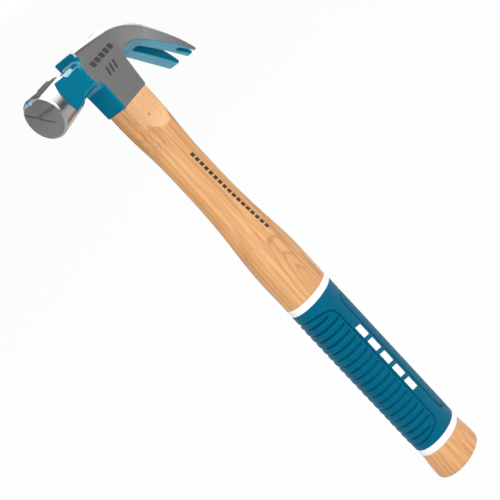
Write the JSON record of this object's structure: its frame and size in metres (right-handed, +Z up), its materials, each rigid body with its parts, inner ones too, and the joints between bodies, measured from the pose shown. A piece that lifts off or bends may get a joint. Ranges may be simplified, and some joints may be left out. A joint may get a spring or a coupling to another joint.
{
  "type": "claw hammer",
  "caption": "Small claw hammer with a forged head, curved claws, a nail-starting groove with a magnet, an oval hickory handle and a ribbed rubber grip with white collars.",
  "frame": {"origin": "centre of the flat butt end of the handle", "axes": "+Z up the handle towards the head, -X out of the striking face, +X towards the claws, Y across the broad sides of the handle"},
  "size_m": [0.1039, 0.0258, 0.2997],
  "materials": {
    "head_steel": "forged steel: cheeks, poll and crown ground and polished, remaining forged surfaces painted glossy blue",
    "hickory": "clear-lacquered hickory",
    "wedge_wood": "end-grain hardwood",
    "wedge_steel": "plain stamped steel",
    "liner_plastic": "fine satin white plastic",
    "grip_rubber": "soft satin blue rubber",
    "magnet_black": "black coated magnet"
  },
  "bodies": {
    "root": {"head": "head_steel", "handle": "hickory", "wooden_wedge": "wedge_wood", "steel_wedge_front": "wedge_steel", "steel_wedge_rear": "wedge_steel", "grip_liner": "liner_plastic", "grip_cover": "grip_rubber", "starter_magnet": "magnet_black"}
  },
  "joints": []
}
